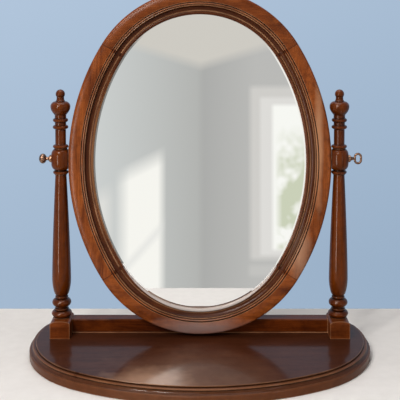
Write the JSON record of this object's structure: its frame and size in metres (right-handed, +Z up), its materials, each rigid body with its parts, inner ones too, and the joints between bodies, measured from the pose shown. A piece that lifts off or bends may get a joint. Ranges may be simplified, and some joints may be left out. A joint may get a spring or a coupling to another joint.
{
  "type": "dressing-table swing mirror",
  "caption": "Oval mirror in a moulded wooden frame, swung between turned posts on a bow-fronted base with a moulded edge and clamped at its tilt by brass thumb screws.",
  "frame": {"origin": "on the underside of the base, midway between the centre lines of the posts", "axes": "+X to the right as seen from the front, +Y to the back, +Z up"},
  "size_m": [0.4798, 0.2299, 0.5123],
  "materials": {
    "base_wood": "polished",
    "block_wood": "polished",
    "post_wood": "polished",
    "rail_wood": "polished",
    "frame_wood": "polished",
    "dowel_wood": "plain",
    "board": "plain",
    "silvered_glass": "bevelled",
    "brass": "aged",
    "steel": "plain"
  },
  "bodies": {
    "stand": {"base_board": "base_wood", "left_block": "block_wood", "right_block": "block_wood", "left_post": "post_wood", "right_post": "post_wood", "cross_rail": "rail_wood", "block_screws": "steel", "rail_screws": "steel", "left_collar": "brass", "right_collar": "brass"},
    "mirror": {"frame_top": "frame_wood", "frame_right": "frame_wood", "frame_bottom": "frame_wood", "frame_left": "frame_wood", "frame_dowels": "dowel_wood", "mirror_glass": "silvered_glass", "backing_board": "board", "backing_screws": "brass", "left_pivot_plate": "brass", "right_pivot_plate": "brass", "pivot_plate_screws": "brass", "left_washer": "brass", "right_washer": "brass"},
    "left_screw": {"left_thumb_screw": "brass"},
    "right_screw": {"right_thumb_screw": "brass"}
  },
  "joints": [
    {"name": "mirror_tilt", "type": "hinge", "parent": "stand", "child": "mirror", "pos_m": [0, 0, 0.2723], "axis": [-1, 0, 0], "range_deg": [0, 168]},
    {"name": "left_thumb_screw_turn", "type": "hinge", "parent": "mirror", "child": "left_screw", "pos_m": [-0.2, 0, 0.2723], "axis": [-1, 0, 0], "range_deg": [0, 270]},
    {"name": "right_thumb_screw_turn", "type": "hinge", "parent": "mirror", "child": "right_screw", "pos_m": [0.2, 0, 0.2723], "axis": [1, 0, 0], "range_deg": [0, 270]}
  ]
}
